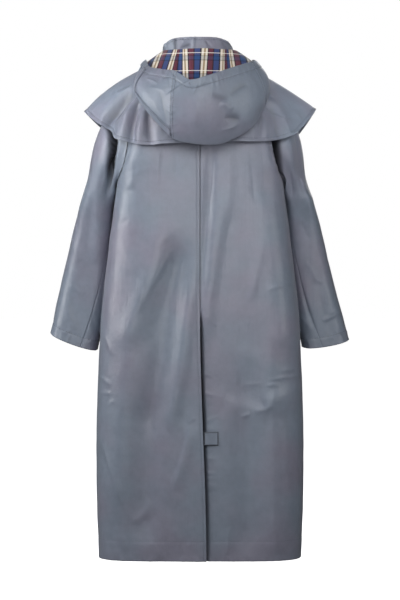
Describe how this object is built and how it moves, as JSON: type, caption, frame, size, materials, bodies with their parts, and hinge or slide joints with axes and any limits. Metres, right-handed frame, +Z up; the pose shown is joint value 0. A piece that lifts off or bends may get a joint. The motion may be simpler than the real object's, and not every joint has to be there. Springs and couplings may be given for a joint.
{
  "type": "raincoat",
  "caption": "Full-length hooded raincoat in worn form with no wearer: stand collar, let-down hood with check lining, shoulder cape, long sleeves and a tabbed back vent.",
  "frame": {"origin": "middle of the neck at the height of the nape, where the coat hangs from the wearer's shoulders", "axes": "+Z up, the wearer faces +Y, +X is the wearer's right"},
  "size_m": [0.7453, 0.3985, 1.2833],
  "materials": {
    "coated_cloth": "satin coated weave",
    "check_lining": "matt cotton check",
    "press_stud_metal": "satin"
  },
  "bodies": {
    "root": {"back_left": "coated_cloth", "back_right": "coated_cloth", "front_left": "coated_cloth", "front_right": "coated_cloth", "vent_underlap": "coated_cloth", "vent_tab": "coated_cloth", "front_placket": "coated_cloth", "press_stud_1": "press_stud_metal", "press_stud_2": "press_stud_metal", "press_stud_3": "press_stud_metal", "press_stud_4": "press_stud_metal", "press_stud_5": "press_stud_metal", "press_stud_6": "press_stud_metal", "pocket_welt_left": "coated_cloth", "pocket_welt_right": "coated_cloth", "sleeve_left": "coated_cloth", "sleeve_right": "coated_cloth", "cape": "coated_cloth", "collar": "coated_cloth", "hood_left": "coated_cloth", "hood_centre": "coated_cloth", "hood_right": "coated_cloth", "hood_lining": "check_lining", "hood_side_band": "coated_cloth", "hood_turn_back": "coated_cloth"}
  },
  "joints": []
}
